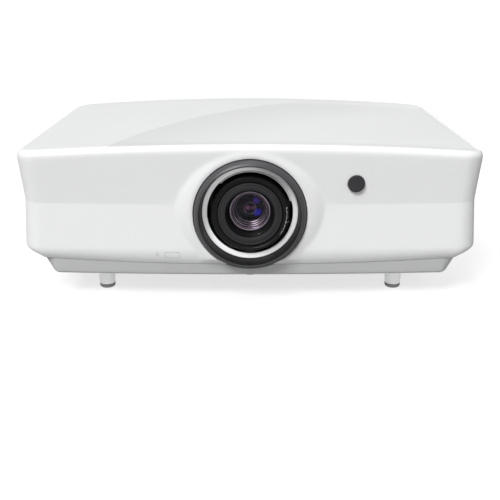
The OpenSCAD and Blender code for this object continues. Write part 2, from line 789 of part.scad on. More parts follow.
module keypad_board() {
    y = panel_y - 8;
    color("darkgreen") from_face() union() {
        translate([keypad_x - 26, y, keypad_z - 36]) cube([52, board_t, 76]);
        for (k = keys) chip(keypad_x + k[0], y + board_t + 1, keypad_z + k[1] - 2.5, 5, 2, 5);
    }
}

module status_leds() {
    color("lime") from_face() for (i = [-1 : 1])
        along_y(keypad_x + i * 8, panel_y - 8 + board_t, keypad_z - 26) cylinder(r = 1.5,
            h = 8 - board_t + panel_t + 0.6);
}

module key_button(i) {
    start = panel_y - 8 + board_t + 2 + key_travel + 0.4;
    color("black") from_face() along_y(keypad_x + keys[i][0], start, keypad_z + keys[i][1])
        cylinder(r = key_r, h = panel_y + panel_t + key_out - start);
}

module enter_button() key_button(0);
module up_button() key_button(1);
module down_button() key_button(2);
module left_button() key_button(3);
module right_button() key_button(4);
module menu_button() key_button(5);
module power_button() key_button(6);

module cover_screws() {
    color("silver") from_face() screw_places() union() {
        translate([0, 0, under_z - 1.2]) cylinder(r = 3.6, h = 1.2);
        translate([0, 0, under_z - 0.1]) cylinder(r = 1.48, h = tray_top + 20 - under_z);
    }
}

module mount_inserts() {
    color("goldenrod") from_face() for (x = [-1, 1]) for (y = [-1, 1])
        translate([x * mount_dx / 2, mount_mid_y + y * mount_dy / 2, under_z])
            tube(3.98, insert_hole_r, floor_z - under_z + 1.5);
}

top_cover();
base_tub();
rear_panel();
left_grille();
right_grille();
lens_trim_ring();
chrome_ring();
ir_window();
chassis_tray();
main_board();
psu_board();
power_inlet();
signal_ports();
laser_bank();
laser_heatsink();
heat_pipes();
wheel_housing();
wheel_motors();
light_tunnel();
relay_lenses();
engine_housing();
prism();
dmd_board();
dmd_heatsink();
lens_mount();
guide_pins();
fan_frames();
speakers();
keypad_board();
status_leds();
cover_screws();
mount_inserts();
lens_carriage();
lens_barrel();
rear_lens_group();
zoom_ring();
zoom_group();
focus_ring();
front_cell();
front_lens();
shift_wheel();
foot_screw_fl();
foot_screw_fr();
foot_screw_rl();
foot_screw_rr();
foot_pad_fl();
foot_pad_fr();
foot_pad_rl();
foot_pad_rr();
intake_rotor();
exhaust_rotor();
phosphor_wheel();
colour_wheel();
power_button();
menu_button();
enter_button();
up_button();
down_button();
left_button();
right_button();
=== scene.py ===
import math

import bmesh
import bpy
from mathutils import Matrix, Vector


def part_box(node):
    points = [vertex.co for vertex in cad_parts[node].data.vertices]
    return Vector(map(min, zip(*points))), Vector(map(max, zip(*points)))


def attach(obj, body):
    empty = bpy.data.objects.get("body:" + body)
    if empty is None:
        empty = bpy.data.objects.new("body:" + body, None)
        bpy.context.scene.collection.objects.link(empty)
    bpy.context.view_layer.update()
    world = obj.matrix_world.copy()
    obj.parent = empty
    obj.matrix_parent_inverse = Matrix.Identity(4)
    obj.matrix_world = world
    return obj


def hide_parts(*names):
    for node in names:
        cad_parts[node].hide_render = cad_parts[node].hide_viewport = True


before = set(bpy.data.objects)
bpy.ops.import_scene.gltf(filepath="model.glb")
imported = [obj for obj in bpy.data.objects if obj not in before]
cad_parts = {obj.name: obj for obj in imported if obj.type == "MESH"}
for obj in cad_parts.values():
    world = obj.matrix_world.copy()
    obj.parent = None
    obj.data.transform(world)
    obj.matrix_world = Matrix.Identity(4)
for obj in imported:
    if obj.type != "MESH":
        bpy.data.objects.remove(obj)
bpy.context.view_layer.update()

mm = 0.001

# Camera. It stands in front of the projector and looks down at it by twenty degrees.
camera_data = bpy.data.cameras.new("camera")
camera_data.lens = 53.16
camera_data.sensor_width = 36
camera = bpy.data.objects.new("camera", camera_data)
camera.location = (0, -0.9142, 0.3356)
camera.rotation_euler = (math.radians(70), 0, 0)
bpy.context.collection.objects.link(camera)
bpy.context.scene.camera = camera
bpy.context.scene.view_settings.view_transform = "Standard"


# Floor and studio light. The floor is a pale lit table whose own glow reaches only itself and the
# feet, so a high soft key light from the left, a weaker one from above, the white surround and a
# soft box on the right shape the case.
def select_none():
    """Leaves edit mode and clears the selection."""
    if bpy.context.object and bpy.context.object.mode != "OBJECT":
        bpy.ops.object.mode_set(mode="OBJECT")
    bpy.ops.object.select_all(action="DESELECT")


def select_only(piece):
    select_none()
    bpy.context.view_layer.objects.active = piece
    piece.select_set(True)


def plain_material(name, colour, roughness):
    material = bpy.data.materials.new(name)
    material.use_nodes = True
    shader = material.node_tree.nodes["Principled BSDF"]
    shader.inputs["Base Color"].default_value = (*colour, 1)
    shader.inputs["Roughness"].default_value = roughness
    return material, shader


def soft_box(name, place, turn, size, power):
    light = bpy.data.lights.new(name, "AREA")
    light.shape = "RECTANGLE"
    light.size, light.size_y = size
    light.energy = power
    lamp = bpy.data.objects.new(name, light)
    lamp.location = place
    lamp.rotation_euler = [math.radians(a) for a in turn]
    bpy.context.collection.objects.link(lamp)
    return lamp


select_none()
bpy.ops.mesh.primitive_plane_add(size=44, location=(0, 0, 0))
floor = bpy.context.object
floor.name = "floor"
floor_paint, floor_shader = plain_material("studio_floor", (0.36, 0.36, 0.36), 0.1)
floor_shader.inputs["Specular IOR Level"].default_value = 0.5
floor_shader.inputs["Emission Color"].default_value = (1, 1, 1, 1)
floor_shader.inputs["Emission Strength"].default_value = 0.72
floor.data.materials.append(floor_paint)
table_glow = bpy.data.collections.new("table_glow")
table_glow.objects.link(floor)
floor.light_linking.receiver_collection = table_glow
surround = bpy.data.worlds.new("surround")
surround.use_nodes = True
surround.node_tree.nodes["Background"].inputs["Color"].default_value = (1, 1, 1, 1)
surround.node_tree.nodes["Background"].inputs["Strength"].default_value = 0.27
bpy.context.scene.world = surround
for lamp_name, power, turn in (("key_light", 2.8, (42, 0, -32)), ("top_light", 0.5, (0, 0, 0))):
    sky_light = bpy.data.lights.new(lamp_name, "SUN")
    sky_light.energy = power
    sky_light.angle = math.radians(24)
    sky_lamp = bpy.data.objects.new(lamp_name, sky_light)
    sky_lamp.rotation_euler = [math.radians(a) for a in turn]
    bpy.context.collection.objects.link(sky_lamp)
soft_box("right_box", (1.1, -1.3, 0.75), (68, 0, 40), (0.8, 0.7), 2.2)


# Top cover. One moulding in smooth white plastic, crowned on top, bowed and folded in front,
# rolled under at the joint line, with a flared collar that runs the front into the lens opening.
def moulded_plastic(name, colour, roughness, grain=900, depth=0.04, coat=0.0):
    material, shader = plain_material(name, colour, roughness)
    nodes, links = material.node_tree.nodes, material.node_tree.links
    place = nodes.new("ShaderNodeTexCoord")
    fine = nodes.new("ShaderNodeTexNoise")
    fine.inputs["Scale"].default_value = grain
    fine.inputs["Detail"].default_value = 3
    broad = nodes.new("ShaderNodeTexNoise")
    broad.inputs["Scale"].default_value = 14
    ramp = nodes.new("ShaderNodeMapRange")
    ramp.inputs["To Min"].default_value = roughness * 0.88
    ramp.inputs["To Max"].default_value = roughness * 1.12
    bump = nodes.new("ShaderNodeBump")
    bump.inputs["Strength"].default_value = depth
    bump.inputs["Distance"].default_value = 0.1 * mm
    for noise in (fine, broad):
        links.new(place.outputs["Object"], noise.inputs["Vector"])
    links.new(broad.outputs["Fac"], ramp.inputs["Value"])
    links.new(ramp.outputs["Result"], shader.inputs["Roughness"])
    links.new(fine.outputs["Fac"], bump.inputs["Height"])
    links.new(bump.outputs["Normal"], shader.inputs["Normal"])
    shader.inputs["Coat Weight"].default_value = coat
    shader.inputs["Coat Roughness"].default_value = 0.12
    return material


def edit(piece, mode):
    select_only(piece)
    bpy.ops.object.mode_set(mode="EDIT")
    bpy.ops.mesh.select_mode(type=mode)
    bpy.ops.mesh.select_all(action="DESELECT")
    return bmesh.from_edit_mesh(piece.data)


def leave_edit():
    bpy.ops.object.mode_set(mode="OBJECT")


def pick(mesh, edges=None, faces=None):
    for group, wanted in ((mesh.edges, edges), (mesh.faces, faces)):
        if wanted:
            for part in group:
                if wanted(part):
                    part.select_set(True)
    mesh.select_flush_mode()


def pick_again(piece):
    """Clears the selection inside edit mode and reads the mesh afresh."""
    bpy.ops.mesh.select_all(action="DESELECT")
    return bmesh.from_edit_mesh(piece.data)


def face_outward():
    """Points every normal outward, in edit mode."""
    bpy.ops.mesh.select_all(action="SELECT")
    bpy.ops.mesh.normals_make_consistent(inside=False)


def block(name, low, high):
    """A box between two corners, with its place in its mesh."""
    select_none()
    centre = [(a + b) / 2 for a, b in zip(low, high)]
    bpy.ops.mesh.primitive_cube_add(size=1, location=centre)
    piece = bpy.context.object
    piece.name = piece.data.name = name
    piece.scale = [b - a for a, b in zip(low, high)]
    bpy.ops.object.transform_apply(location=True, rotation=True, scale=True)
    return piece


def slice_rows(piece, axis, places):
    edit(piece, "EDGE")
    normal = [0, 0, 0]
    normal[axis] = 1
    for place in places:
        point = [0, 0, 0]
        point[axis] = place
        bpy.ops.mesh.select_all(action="SELECT")
        bpy.ops.mesh.bisect(plane_co=point, plane_no=normal)
    leave_edit()


def apply(piece, kind, **settings):
    select_only(piece)
    modifier = piece.modifiers.new(kind, kind)
    for key, value in settings.items():
        setattr(modifier, key, value)
    bpy.ops.object.modifier_apply(modifier=modifier.name)


def cut(piece, *tools):
    for tool in tools:
        apply(piece, "BOOLEAN", object=tool, operation="DIFFERENCE", solver="EXACT")
        bpy.data.objects.remove(tool, do_unlink=True)


def rod(name, centre, radius, length, axis="Z", sides=96):
    """A plain cylinder, used as a cutter or shaped further."""
    turn = {"X": (0, math.pi / 2, 0), "Y": (math.pi / 2, 0, 0), "Z": (0, 0, 0)}[axis]
    select_none()
    bpy.ops.mesh.primitive_cylinder_add(vertices=sides, radius=radius, depth=length,
                                        location=centre, rotation=turn)
    piece = bpy.context.object
    piece.name = piece.data.name = name
    bpy.ops.object.transform_apply(location=True, rotation=True, scale=True)
    return piece


def smooth(piece, degrees=30):
    select_only(piece)
    bpy.ops.object.shade_smooth_by_angle(angle=math.radians(degrees))


def paint(piece, material):
    piece.data.materials.clear()
    piece.data.materials.append(material)


def finish(piece, body, slot_name, material, *nodes):
    paint(piece, material)
    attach(piece, body)
    if nodes:
        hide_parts(*nodes)
    return piece


def clamp(t):
    return min(1.0, max(0.0, t))


def step(t):
    t = clamp(t)
    return t * t * (3 - 2 * t)


def spread(start, stop, pitch):
    count = max(1, round((stop - start) / pitch))
    return [start + (stop - start) * i / count for i in range(1, count)]


cover_lo, cover_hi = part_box("top_cover")
ring_lo, ring_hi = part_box("chrome_ring")
trim_lo, trim_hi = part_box("lens_trim_ring")
axis_z = (ring_lo[2] + ring_hi[2]) / 2
lip_y = cover_lo[1] + 1.2 * mm
rear_y = cover_hi[1]
half_w = cover_hi[0]
crown_z = cover_hi[2]
seam_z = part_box("base_tub")[0][2] + 15 * mm
seam_rise = 6.5 * mm
crown_drop = 10 * mm
front_bow, bow_reach = 9 * mm, 110 * mm
corner_r = 24 * mm
lip_r = 8 * mm
waist_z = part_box("base_tub")[0][2] + 83 * mm
roll_z = seam_z + 18 * mm
wall = 2.5 * mm
trim_r = (trim_hi[2] - trim_lo[2]) / 2 - 2.4 * mm
hole_r = trim_r + 0.9 * mm
crease_x, crease_y, crease_r = 0.377, lip_y - 0.166, 0.555


def seam_at(x):
    """Height of the joint between cover and tub, which rises towards the sides."""
    return seam_z + seam_rise * (x / half_w) ** 2


def bow_at(x, y):
    """How far the bowed front falls back at x; it dies out towards the rear."""
    return front_bow * (x / half_w) ** 2 * clamp((lip_y + bow_reach - y) / bow_reach)


def flare_y(radius):
    """Depth of the collar surface behind the lip, for a distance from the lens axis."""
    rows = [(hole_r + out * mm, back * mm) for out, back in (
        (0, -0.4), (1.4, -1.2), (4, -0.9), (8, 0.1), (12, 1.4), (16, 3.0), (22, 5.6))]
    for (r0, y0), (r1, y1) in zip(rows, rows[1:]):
        if radius <= r1:
            return y0 + (y1 - y0) * max(0.0, (radius - r0) / (r1 - r0))
    return 1.0


def blend_min(a, b, soft):
    """The lesser of two values, with a soft change from one to the other."""
    h = clamp(0.5 + 0.5 * (b - a) / soft)
    return b * (1 - h) + a * h - soft * h * (1 - h)


def cover_shape(x, y, z):
    """Moves a point of the plain block to its place on the cover: waist fold, roll, bow and crown."""
    side = min(1.0, abs(x) / half_w)
    across = clamp((abs(x) - half_w + corner_r) / corner_r)
    ahead = clamp((lip_y + corner_r - y) / corner_r)
    soft = 16 * mm * max(0.0, 1 - abs(x) / (105 * mm)) * ahead
    fold = math.hypot(z - waist_z, soft)
    reach = (roll_z - waist_z) if z < waist_z else (crown_z - 10 * mm - waist_z)
    tuck = max(0.0, 1 - fold / abs(reach))
    under = max(0.0, (roll_z - z) / (roll_z - seam_z))
    new_x = x - math.copysign(across, x) * (4.0 * mm * tuck + 18.3 * mm * under ** 2.3)
    new_y = y + ahead * (3.8 * mm * tuck + 5 * mm * under ** 2.2)
    new_y += bow_at(x, y)
    new_z = z + seam_rise * side ** 2 * min(1.0, under)
    new_z -= crown_drop * side ** 2 * step((z - waist_z) / (crown_z - waist_z))
    if z > crown_z - 1 * mm:
        past = crease_r - math.hypot(x - crease_x, y - crease_y)
        fall = 1 - math.exp(-max(0.0, past) / (30 * mm))
        new_z -= 2.2 * mm * fall * step((y - lip_y) / (25 * mm)) * step((rear_y - y) / (40 * mm))
    if y < lip_y + 12 * mm and z < crown_z - 4 * mm:
        radius = math.hypot(new_x, new_z - axis_z)
        flared = lip_y + blend_min(new_y - lip_y, flare_y(radius), 0.5 * mm)
        new_y += (flared - new_y) * step((new_z - seam_at(new_x)) / (9 * mm))
    return new_x, new_y, new_z


cover = block("cover_shell", (-half_w, lip_y, seam_z), (half_w, rear_y, crown_z))
mesh = edit(cover, "EDGE")
pick(mesh, edges=lambda e: abs(e.verts[0].co.z - e.verts[1].co.z) > 0.02)
bpy.ops.mesh.bevel(offset=corner_r, offset_type="OFFSET", segments=12, profile=0.5, affect="EDGES")
mesh = pick_again(cover)
pick(mesh, edges=lambda e: min(v.co.z for v in e.verts) > crown_z - 1 * mm and len(e.link_faces) == 2
     and any(abs(f.normal.z) < 0.5 for f in e.link_faces))
bpy.ops.mesh.bevel(offset=lip_r, offset_type="OFFSET", segments=7, profile=0.5, affect="EDGES")
mesh = pick_again(cover)
bpy.ops.mesh.select_mode(type="FACE")
pick(mesh, faces=lambda f: f.normal.z < -0.9)
bpy.ops.mesh.delete(type="FACE")
leave_edit()
near = 84 * mm
slice_rows(cover, 0, [-near, near] + spread(-near, near, 2 * mm)
           + [s * p for s in (-1, 1) for p in spread(near, half_w - corner_r, 4 * mm)])
slice_rows(cover, 2, [waist_z - 0.8 * mm, waist_z, waist_z + 0.8 * mm, roll_z]
           + spread(seam_z, roll_z, 1.6 * mm) + spread(roll_z, waist_z, 2.4 * mm)
           + spread(waist_z, crown_z - lip_r, 2.4 * mm))
slice_rows(cover, 1, spread(lip_y + corner_r, rear_y - corner_r, 3.5 * mm)
           + [lip_y + 10 * mm, lip_y + 16 * mm])
for vertex in cover.data.vertices:
    vertex.co = cover_shape(*vertex.co)
apply(cover, "SOLIDIFY", thickness=wall, offset=-1, use_even_offset=True)
window_lo, window_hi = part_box("ir_window")
window_x, window_z = (window_lo[0] + window_hi[0]) / 2, (window_lo[2] + window_hi[2]) / 2
window_r = 9.1 * mm
panel_lo, panel_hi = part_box("rear_panel")
gap = 0.3 * mm
cutters = [rod("lens_hole", (0, lip_y, axis_z), hole_r, 60 * mm, "Y", 160),
           rod("window_hole", (window_x, lip_y, window_z), window_r + gap, 40 * mm, "Y", 64),
           block("panel_hole", (panel_lo[0] - gap, rear_y - 20 * mm, panel_lo[2] - gap),
                 (panel_hi[0] + gap, rear_y + 20 * mm, panel_hi[2] + gap))]
for side_name, outward in (("left_grille", -1), ("right_grille", 1)):
    low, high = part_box(side_name)
    x_range = sorted((outward * (half_w - 24 * mm), outward * (half_w + 10 * mm)))
    cutters.append(block(side_name + "_hole", (x_range[0], low[1] - gap, low[2] - gap),
                         (x_range[1], high[1] + gap, high[2] + gap)))
cut(cover, *cutters)
smooth(cover, 32)
# The second colour is the painted shade for the top past the crease.
shell_colour, painted_shade_colour = (0.87, 0.875, 0.88), (0.77, 0.775, 0.78)
white_shell = moulded_plastic("white_shell", shell_colour, 0.42, 1500, 0.02, 0.06)
finish(cover, "case", "white_shell", white_shell, "top_cover")

# Painted shade. Past the curved crease the top's colour is painted a shade darker, darkest at the
# crease and fading out across the cover, to stand in for the shading where the top falls away.
nodes, links = white_shell.node_tree.nodes, white_shell.node_tree.links
place = nodes.new("ShaderNodeTexCoord")
parts = nodes.new("ShaderNodeSeparateXYZ")
away = nodes.new("ShaderNodeVectorMath")
away.operation = "DISTANCE"
away.inputs[1].default_value = (crease_x, crease_y, crown_z)
links.new(place.outputs["Object"], parts.inputs[0])
links.new(place.outputs["Object"], away.inputs[0])
painted_shade_reach = 130 * mm
masks = []
for source, first, last in ((away.outputs["Value"], crease_r - painted_shade_reach, crease_r),
                            (away.outputs["Value"], crease_r + 0.7 * mm, crease_r),
                            (parts.outputs["Y"], lip_y + 6 * mm, lip_y + 9 * mm),
                            (parts.outputs["X"], half_w - 20 * mm, half_w - 120 * mm),
                            (parts.outputs["Y"], rear_y - 3 * mm, rear_y - 60 * mm),
                            (parts.outputs["Z"], crown_z - 16 * mm, crown_z - 15 * mm)):
    ramp = nodes.new("ShaderNodeMapRange")
    ramp.inputs["From Min"].default_value = first
    ramp.inputs["From Max"].default_value = last
    links.new(source, ramp.inputs["Value"])
    masks.append(ramp.outputs["Result"])
painted_shade_mask = masks[0]
for mask in masks[1:]:
    both = nodes.new("ShaderNodeMath")
    both.operation = "MULTIPLY"
    links.new(painted_shade_mask, both.inputs[0])
    links.new(mask, both.inputs[1])
    painted_shade_mask = both.outputs["Value"]
# The mask mixes the painted shade into the cover's base colour.
shade = nodes.new("ShaderNodeMix")
shade.data_type = "RGBA"
shade.inputs["A"].default_value = (*shell_colour, 1)
shade.inputs["B"].default_value = (*painted_shade_colour, 1)
links.new(painted_shade_mask, shade.inputs["Factor"])
links.new(shade.outputs["Result"], nodes["Principled BSDF"].inputs["Base Color"])

# Base tub. One moulding in light grey plastic with a fine texture; its walls slant in to a flat
# underside, bosses inside it take the feet, and holes in the underside take the ceiling mount inserts and the
# cover screws.
def lathe(name, centre, profile, axis="Y", steps=128):
    """A turned piece: profile is (radius, distance along the axis), spun round the axis."""
    order = {"Y": (0, 1, 2), "Z": (0, 2, 1), "X": (1, 0, 2)}[axis]
    points = []
    for radius, along in profile:
        point = [0, 0, 0]
        point[order[0]] = radius
        point[order[1]] = along
        points.append([a + b for a, b in zip(centre, point)])
    count = len(points)
    closed = profile[0][0] > 1e-6
    shape = bpy.data.meshes.new(name)
    edges = [(i, i + 1) for i in range(count - 1)] + ([(count - 1, 0)] if closed else [])
    shape.from_pydata(points, edges, [])
    piece = bpy.data.objects.new(name, shape)
    bpy.context.collection.objects.link(piece)
    edit(piece, "VERT")
    bpy.ops.mesh.select_all(action="SELECT")
    direction = {"X": (1, 0, 0), "Y": (0, 1, 0), "Z": (0, 0, 1)}[axis]
    bpy.ops.mesh.spin(steps=steps, angle=2 * math.pi, center=centre, axis=direction)
    bpy.ops.mesh.select_all(action="SELECT")
    bpy.ops.mesh.remove_doubles(threshold=1e-6)
    face_outward()
    leave_edit()
    return piece


def soften(piece, width, segments=2, angle=30):
    apply(piece, "BEVEL", width=width, segments=segments, limit_method="ANGLE",
          angle_limit=math.radians(angle))
    smooth(piece, 35)


def centre_of(node):
    low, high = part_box(node)
    return [(a + b) / 2 for a, b in zip(low, high)]


under_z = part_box("base_tub")[0][2]
tub_w = half_w - 18 * mm
tub_front, tub_back = lip_y + 5.5 * mm, rear_y - 1 * mm
tub_slope, front_slope, tub_corner = 11 * mm, 4 * mm, 20 * mm
tub_top = seam_z + 8 * mm
tub = block("tub_shell", (-tub_w, tub_front, under_z), (tub_w, tub_back, tub_top))
mesh = edit(tub, "EDGE")
pick(mesh, edges=lambda e: abs(e.verts[0].co.z - e.verts[1].co.z) > 0.01)
bpy.ops.mesh.bevel(offset=tub_corner, offset_type="OFFSET", segments=10, profile=0.5, affect="EDGES")
mesh = pick_again(tub)
pick(mesh, edges=lambda e: max(v.co.z for v in e.verts) < under_z + 1 * mm and len(e.link_faces) == 2
     and any(abs(f.normal.z) < 0.5 for f in e.link_faces))
bpy.ops.mesh.bevel(offset=4 * mm, offset_type="OFFSET", segments=5, profile=0.5, affect="EDGES")
mesh = pick_again(tub)
bpy.ops.mesh.select_mode(type="FACE")
pick(mesh, faces=lambda f: f.normal.z > 0.9)
bpy.ops.mesh.delete(type="FACE")
leave_edit()
slice_rows(tub, 0, spread(-tub_w + tub_corner, tub_w - tub_corner, 14 * mm))
slice_rows(tub, 2, spread(under_z + 4 * mm, tub_top, 3.2 * mm))
for vertex in tub.data.vertices:
    x, y, z = vertex.co
    lift = (z - under_z) / (tub_top - under_z)
    across = clamp((abs(x) - tub_w + tub_corner) / tub_corner)
    ahead = clamp((tub_front + tub_corner - y) / tub_corner)
    behind = clamp((y - tub_back + tub_corner) / tub_corner)
    top = seam_at(x) - 0.45 * mm
    new_y = y + (1 - lift) * front_slope * (ahead - behind)
    new_y += bow_at(x, y)
    new_x = x - math.copysign(across, x) * (1 - lift) * tub_slope
    vertex.co = (new_x, new_y, under_z + lift * (top - under_z))
apply(tub, "SOLIDIFY", thickness=wall, offset=-1, use_even_offset=True)
foot_places = [centre_of("foot_screw_" + corner)[:2] for corner in ("fl", "fr", "rl", "rr")]
foot_bore, boss_top = 10.1 * mm, 34 * mm
boss_r = foot_bore + 3.6 * mm
for place in foot_places:
    boss = lathe("foot_boss", (*place, under_z), [
        (boss_r, 1 * mm), (boss_r, boss_top), (foot_bore, boss_top), (foot_bore, 1 * mm)], "Z", 64)
    apply(tub, "BOOLEAN", object=boss, operation="UNION", solver="EXACT")
    bpy.data.objects.remove(boss, do_unlink=True)
insert_lo, insert_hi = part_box("mount_inserts")
screw_lo, screw_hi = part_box("cover_screws")
insert_places = [(x, y) for x in (insert_lo[0] + 3.98 * mm, insert_hi[0] - 3.98 * mm)
                 for y in (insert_lo[1] + 3.98 * mm, insert_hi[1] - 3.98 * mm)]
screw_places = [(x, y) for x in (screw_lo[0] + 3.6 * mm, screw_hi[0] - 3.6 * mm)
                for y in (screw_lo[1] + 3.6 * mm, screw_hi[1] - 3.6 * mm)]
wheel_x, wheel_y = centre_of("shift_wheel")[:2]
holes = [rod("hole", (*place, under_z), foot_bore, 12 * mm, "Z", 64) for place in foot_places]
holes += [rod("hole", (*place, under_z), 4 * mm, 12 * mm, "Z", 48) for place in insert_places]
holes += [rod("hole", (*place, under_z), 2.1 * mm, 12 * mm, "Z", 32) for place in screw_places]
holes.append(rod("hole", (wheel_x, wheel_y, under_z), 13.4 * mm, 12 * mm, "Z", 96))
holes.append(rod("hole", (0, lip_y, axis_z), trim_r + 3.3 * mm, 27 * mm, "Y", 160))
cut(tub, *holes)
smooth(tub, 32)
grey_tub = moulded_plastic("grey_tub", (0.62, 0.625, 0.63), 0.5, 1100, 0.12)
finish(tub, "case", "grey_tub", grey_tub, "base_tub")


# Lens trim ring. A turned ring in satin dark grey metal paint that stands proud of the collar,
# with a matt black inner wall that keeps stray light out of the lens.
def painted_metal(name, colour, roughness, metallic=0.7):
    material = moulded_plastic(name, colour, roughness, 2200, 0.03)
    shader = material.node_tree.nodes["Principled BSDF"]
    shader.inputs["Metallic"].default_value = metallic
    return material


def two_tone(piece, second, inside):
    """Gives the faces that inside() picks, by radius and depth in mm, the second material."""
    piece.data.materials.append(second)
    for face in piece.data.polygons:
        x, y, z = face.center
        if inside(math.hypot(x, z - axis_z) / mm, (y - lip_y) / mm):
            face.material_index = 1


axis_foot = (0, lip_y, axis_z)
trim_back = trim_hi[1] - lip_y
trim = lathe("trim_ring", axis_foot, [
    (54.2 * mm, -7.2 * mm), (54.7 * mm, -7.8 * mm), (55.6 * mm, -8 * mm), (56.6 * mm, -7.5 * mm),
    (57.8 * mm, -6.4 * mm), (58.9 * mm, -5 * mm), (59.8 * mm, -3.2 * mm), (60.4 * mm, -1 * mm),
    (trim_r, 1 * mm), (trim_r, 6 * mm),
    (trim_r + 2.4 * mm, 6 * mm), (trim_r + 2.4 * mm, 8.5 * mm), (trim_r, 8.5 * mm), (trim_r, trim_back),
    (48.4 * mm, trim_back), (48.4 * mm, 11 * mm), (52.3 * mm, 11 * mm), (52.3 * mm, 6 * mm),
    (53.6 * mm, -2 * mm)])
smooth(trim, 25)
trim_dark = painted_metal("trim_dark", (0.07, 0.07, 0.073), 0.45, 0.1)
lens_black = moulded_plastic("lens_black", (0.004, 0.004, 0.0045), 0.5, 1600, 0.05)
lens_black.node_tree.nodes["Principled BSDF"].inputs["Specular IOR Level"].default_value = 0.2
finish(trim, "case", "trim_dark", trim_dark, "lens_trim_ring")
two_tone(trim, lens_black, lambda r, y: r < 54.6 or y > 7)

# Bright ring. A thin polished ring pressed into the trim ring, and inside its upper half a
# slimmer bright arc that ends in a square step beside the zoom lever. A small soft box lights
# only this ring, because it sits in the shade of the trim ring.
bright_r = (ring_hi[2] - ring_lo[2]) / 2
ring_front = ring_lo[1] - lip_y
ring_bore = 46.4 * mm
bright = lathe("bright_ring", axis_foot, [
    (ring_bore, ring_front + 1.4 * mm), (ring_bore + 0.4 * mm, ring_front + 1.0 * mm),
    (bright_r - 0.6 * mm, ring_front), (bright_r, ring_front + 0.5 * mm), (bright_r, ring_front + 3 * mm),
    (ring_bore, ring_front + 3 * mm)], "Y", 192)
soften(bright, 0.15 * mm)
polished = painted_metal("bright_ring", (0.94, 0.94, 0.95), 0.28, 0.12)
finish(bright, "case", "bright_ring", polished, "chrome_ring")
ring_glow = bpy.data.collections.new("ring_glow")
ring_glow.objects.link(bright)
ring_box = soft_box("ring_box", (0.75, -0.95, 0.22), (85, 0, 42), (0.3, 0.3), 4.2)
ring_box.light_linking.receiver_collection = ring_glow


def arc_band(name, centre, inner, outer, front, back, start, stop, count=90):
    """A flat band round the lens axis between two angles, in degrees, with its place in its mesh."""
    points, faces = [], []
    for i in range(count + 1):
        angle = math.radians(start + (stop - start) * i / count)
        for radius, along in ((inner, front), (outer, front), (outer, back), (inner, back)):
            points.append((centre[0] + radius * math.cos(angle), centre[1] + along,
                           centre[2] + radius * math.sin(angle)))
    for i in range(count):
        for j in range(4):
            a, b = 4 * i + j, 4 * i + (j + 1) % 4
            faces.append((a, b, b + 4, a + 4))
    faces += [(3, 2, 1, 0), tuple(4 * count + j for j in range(4))]
    shape = bpy.data.meshes.new(name)
    shape.from_pydata(points, [], faces)
    piece = bpy.data.objects.new(name, shape)
    bpy.context.collection.objects.link(piece)
    edit(piece, "VERT")
    face_outward()
    leave_edit()
    return piece


inner_arc = arc_band("bright_arc", axis_foot, 45.0 * mm, 46.1 * mm, 8.8 * mm, 10.4 * mm, 17, 134)
soften(inner_arc, 0.15 * mm)
finish(inner_arc, "case", "bright_ring", polished)

# Focus ring. A turned aluminium ring, anodised black, that turns on the lens barrel; fine ribs
# run round its side and white distance marks are printed on its front face.
focus_lo, focus_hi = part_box("focus_ring")
focus_r = (focus_hi[2] - focus_lo[2]) / 2
focus_bore = 35.2 * mm
focus_front, focus_back = focus_lo[1] - lip_y, focus_hi[1] - lip_y
ribs = []
for i in range(8):
    along = focus_front + 3 * mm + i * 3 * mm
    ribs += [(focus_r, along), (focus_r, along + 1.6 * mm),
             (focus_r - 0.7 * mm, along + 2 * mm), (focus_r - 0.7 * mm, along + 2.6 * mm)]
focus = lathe("focus_ring_body", axis_foot, [
    (focus_bore, focus_front + 1 * mm), (focus_bore + 0.6 * mm, focus_front + 0.2 * mm),
    (focus_r - 3.4 * mm, focus_front + 0.5 * mm), (focus_r - 3 * mm, focus_front),
    (focus_r - 1.2 * mm, focus_front), (focus_r, focus_front + 1.4 * mm)]
    + ribs + [(focus_r, focus_back), (focus_bore, focus_back)], "Y", 160)
soften(focus, 0.12 * mm, 1)
anodised = painted_metal("anodised_black", (0.006, 0.006, 0.0065), 0.4, 0.0)
anodised.node_tree.nodes["Principled BSDF"].inputs["Specular IOR Level"].default_value = 0.3
mark_paint = plain_material("mark_paint", (0.85, 0.85, 0.85), 0.6)[0]
finish(focus, "focus_ring", "lens_black", anodised, "focus_ring")
marks = []
mark_count, first_angle, mark_pitch = 24, 10, 1.95
for i in range(mark_count):
    angle = first_angle - i * mark_pitch
    tall = 1.5 if i % 4 == 0 else 0.8
    marks.append(arc_band("mark", axis_foot, focus_r - 2.5 * mm, focus_r - (2.5 - tall) * mm,
                          focus_front - 0.04 * mm, focus_front + 0.3 * mm,
                          angle, angle + (0.45 if i % 3 else 0.9), 2))
select_none()
for mark in marks:
    mark.data.materials.append(mark_paint)
    mark.select_set(True)
bpy.context.view_layer.objects.active = marks[0]
bpy.ops.object.join()
marks[0].name = "focus_marks"
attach(marks[0], "focus_ring")

# Zoom ring. It turns behind the focus ring; its lever reaches forward past the focus ring and
# carries a white dot that shows its setting.
paint(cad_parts["zoom_ring"], anodised)
dot_angle = math.radians(14)
lever_r = 42.9 * mm
dot_place = (lever_r * math.cos(dot_angle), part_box("zoom_ring")[0][1],
             axis_z - lever_r * math.sin(dot_angle))
dot = lathe("lever_dot", dot_place, [
    (0, -0.15 * mm), (0.7 * mm, -0.1 * mm), (0.8 * mm, 0.2 * mm), (0, 0.2 * mm)], "Y", 24)
finish(dot, "zoom_ring", "white_shell", mark_paint)

